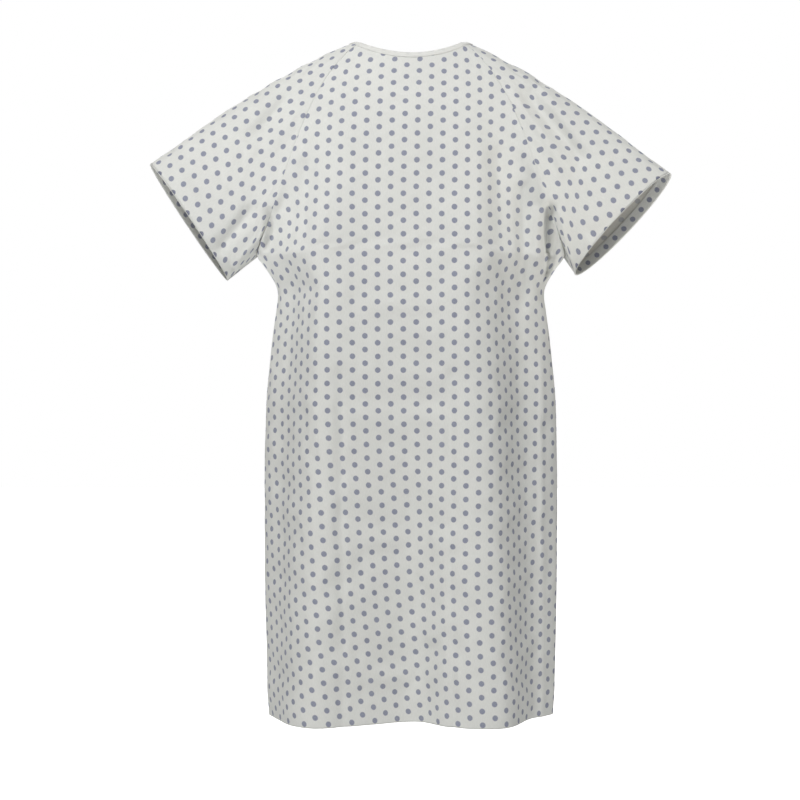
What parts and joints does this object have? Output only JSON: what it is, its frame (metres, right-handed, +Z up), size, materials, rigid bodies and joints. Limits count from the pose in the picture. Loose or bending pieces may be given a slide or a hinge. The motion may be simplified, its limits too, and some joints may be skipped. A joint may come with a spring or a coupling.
{
  "type": "patient gown",
  "caption": "Knee-length patient gown with short raglan sleeves, bound scoop neck, small dot print and a back opening with ties.",
  "frame": {"origin": "midway between the two high points of the neck, where shoulders or a hanger carry the gown", "axes": "+Z up along the gown's length, -Y the front, +X the wearer's left"},
  "size_m": [0.881, 0.278, 1.1434],
  "materials": {
    "printed_cotton": "matte",
    "bias_binding": "matte",
    "seam_allowance": "matte",
    "tie_tape": "matte"
  },
  "bodies": {
    "gown": {"front_panel": "printed_cotton", "neck_binding": "bias_binding", "bottom_hem": "printed_cotton", "left_side_back": "printed_cotton", "left_shoulder": "printed_cotton", "left_front_raglan_seam": "seam_allowance", "left_back_raglan_seam": "seam_allowance", "left_side_seam": "seam_allowance", "right_side_back": "printed_cotton", "right_shoulder": "printed_cotton", "right_front_raglan_seam": "seam_allowance", "right_back_raglan_seam": "seam_allowance", "right_side_seam": "seam_allowance"},
    "left_sleeve_body": {"left_sleeve": "printed_cotton", "left_sleeve_hem": "printed_cotton"},
    "left_flap_body": {"left_back_flap": "printed_cotton", "left_flap_hem": "printed_cotton", "left_back_facing": "seam_allowance", "left_back_binding": "bias_binding", "left_waist_tie_patch": "printed_cotton"},
    "left_neck_tie_body": {"left_neck_tie": "tie_tape"},
    "left_waist_tie_body": {"left_waist_tie": "tie_tape"},
    "right_sleeve_body": {"right_sleeve": "printed_cotton", "right_sleeve_hem": "printed_cotton"},
    "right_flap_body": {"right_back_flap": "printed_cotton", "right_flap_hem": "printed_cotton", "right_back_facing": "seam_allowance", "right_back_binding": "bias_binding", "right_waist_tie_patch": "printed_cotton"},
    "right_neck_tie_body": {"right_neck_tie": "tie_tape"},
    "right_waist_tie_body": {"right_waist_tie": "tie_tape"}
  },
  "joints": [
    {"name": "left_sleeve_swing", "type": "hinge", "parent": "gown", "child": "left_sleeve_body", "pos_m": [0.213, 0, -0.08], "axis": [0.1948, 0, -0.9808], "range_deg": [-25, 25]},
    {"name": "left_flap_open", "type": "hinge", "parent": "gown", "child": "left_flap_body", "pos_m": [0.062, 0.118, 0], "axis": [0.0856, -0.0105, -0.9963], "range_deg": [0, 110]},
    {"name": "left_neck_tie_swing", "type": "hinge", "parent": "left_flap_body", "child": "left_neck_tie_body", "pos_m": [0.016, 0.07708, -0.034], "axis": [1, 0, 0], "range_deg": [0, 100]},
    {"name": "left_waist_tie_swing", "type": "hinge", "parent": "left_flap_body", "child": "left_waist_tie_body", "pos_m": [0.026, 0.11866, -0.47], "axis": [1, 0, 0], "range_deg": [0, 100]},
    {"name": "right_sleeve_swing", "type": "hinge", "parent": "gown", "child": "right_sleeve_body", "pos_m": [-0.213, 0, -0.08], "axis": [0.1948, 0, 0.9808], "range_deg": [-25, 25]},
    {"name": "right_flap_open", "type": "hinge", "parent": "gown", "child": "right_flap_body", "pos_m": [-0.062, 0.118, 0], "axis": [0.0856, 0.0105, 0.9963], "range_deg": [0, 110]},
    {"name": "right_neck_tie_swing", "type": "hinge", "parent": "right_flap_body", "child": "right_neck_tie_body", "pos_m": [-0.016, 0.07708, -0.034], "axis": [1, 0, 0], "range_deg": [0, 100]},
    {"name": "right_waist_tie_swing", "type": "hinge", "parent": "right_flap_body", "child": "right_waist_tie_body", "pos_m": [-0.026, 0.11866, -0.47], "axis": [1, 0, 0], "range_deg": [0, 100]}
  ]
}
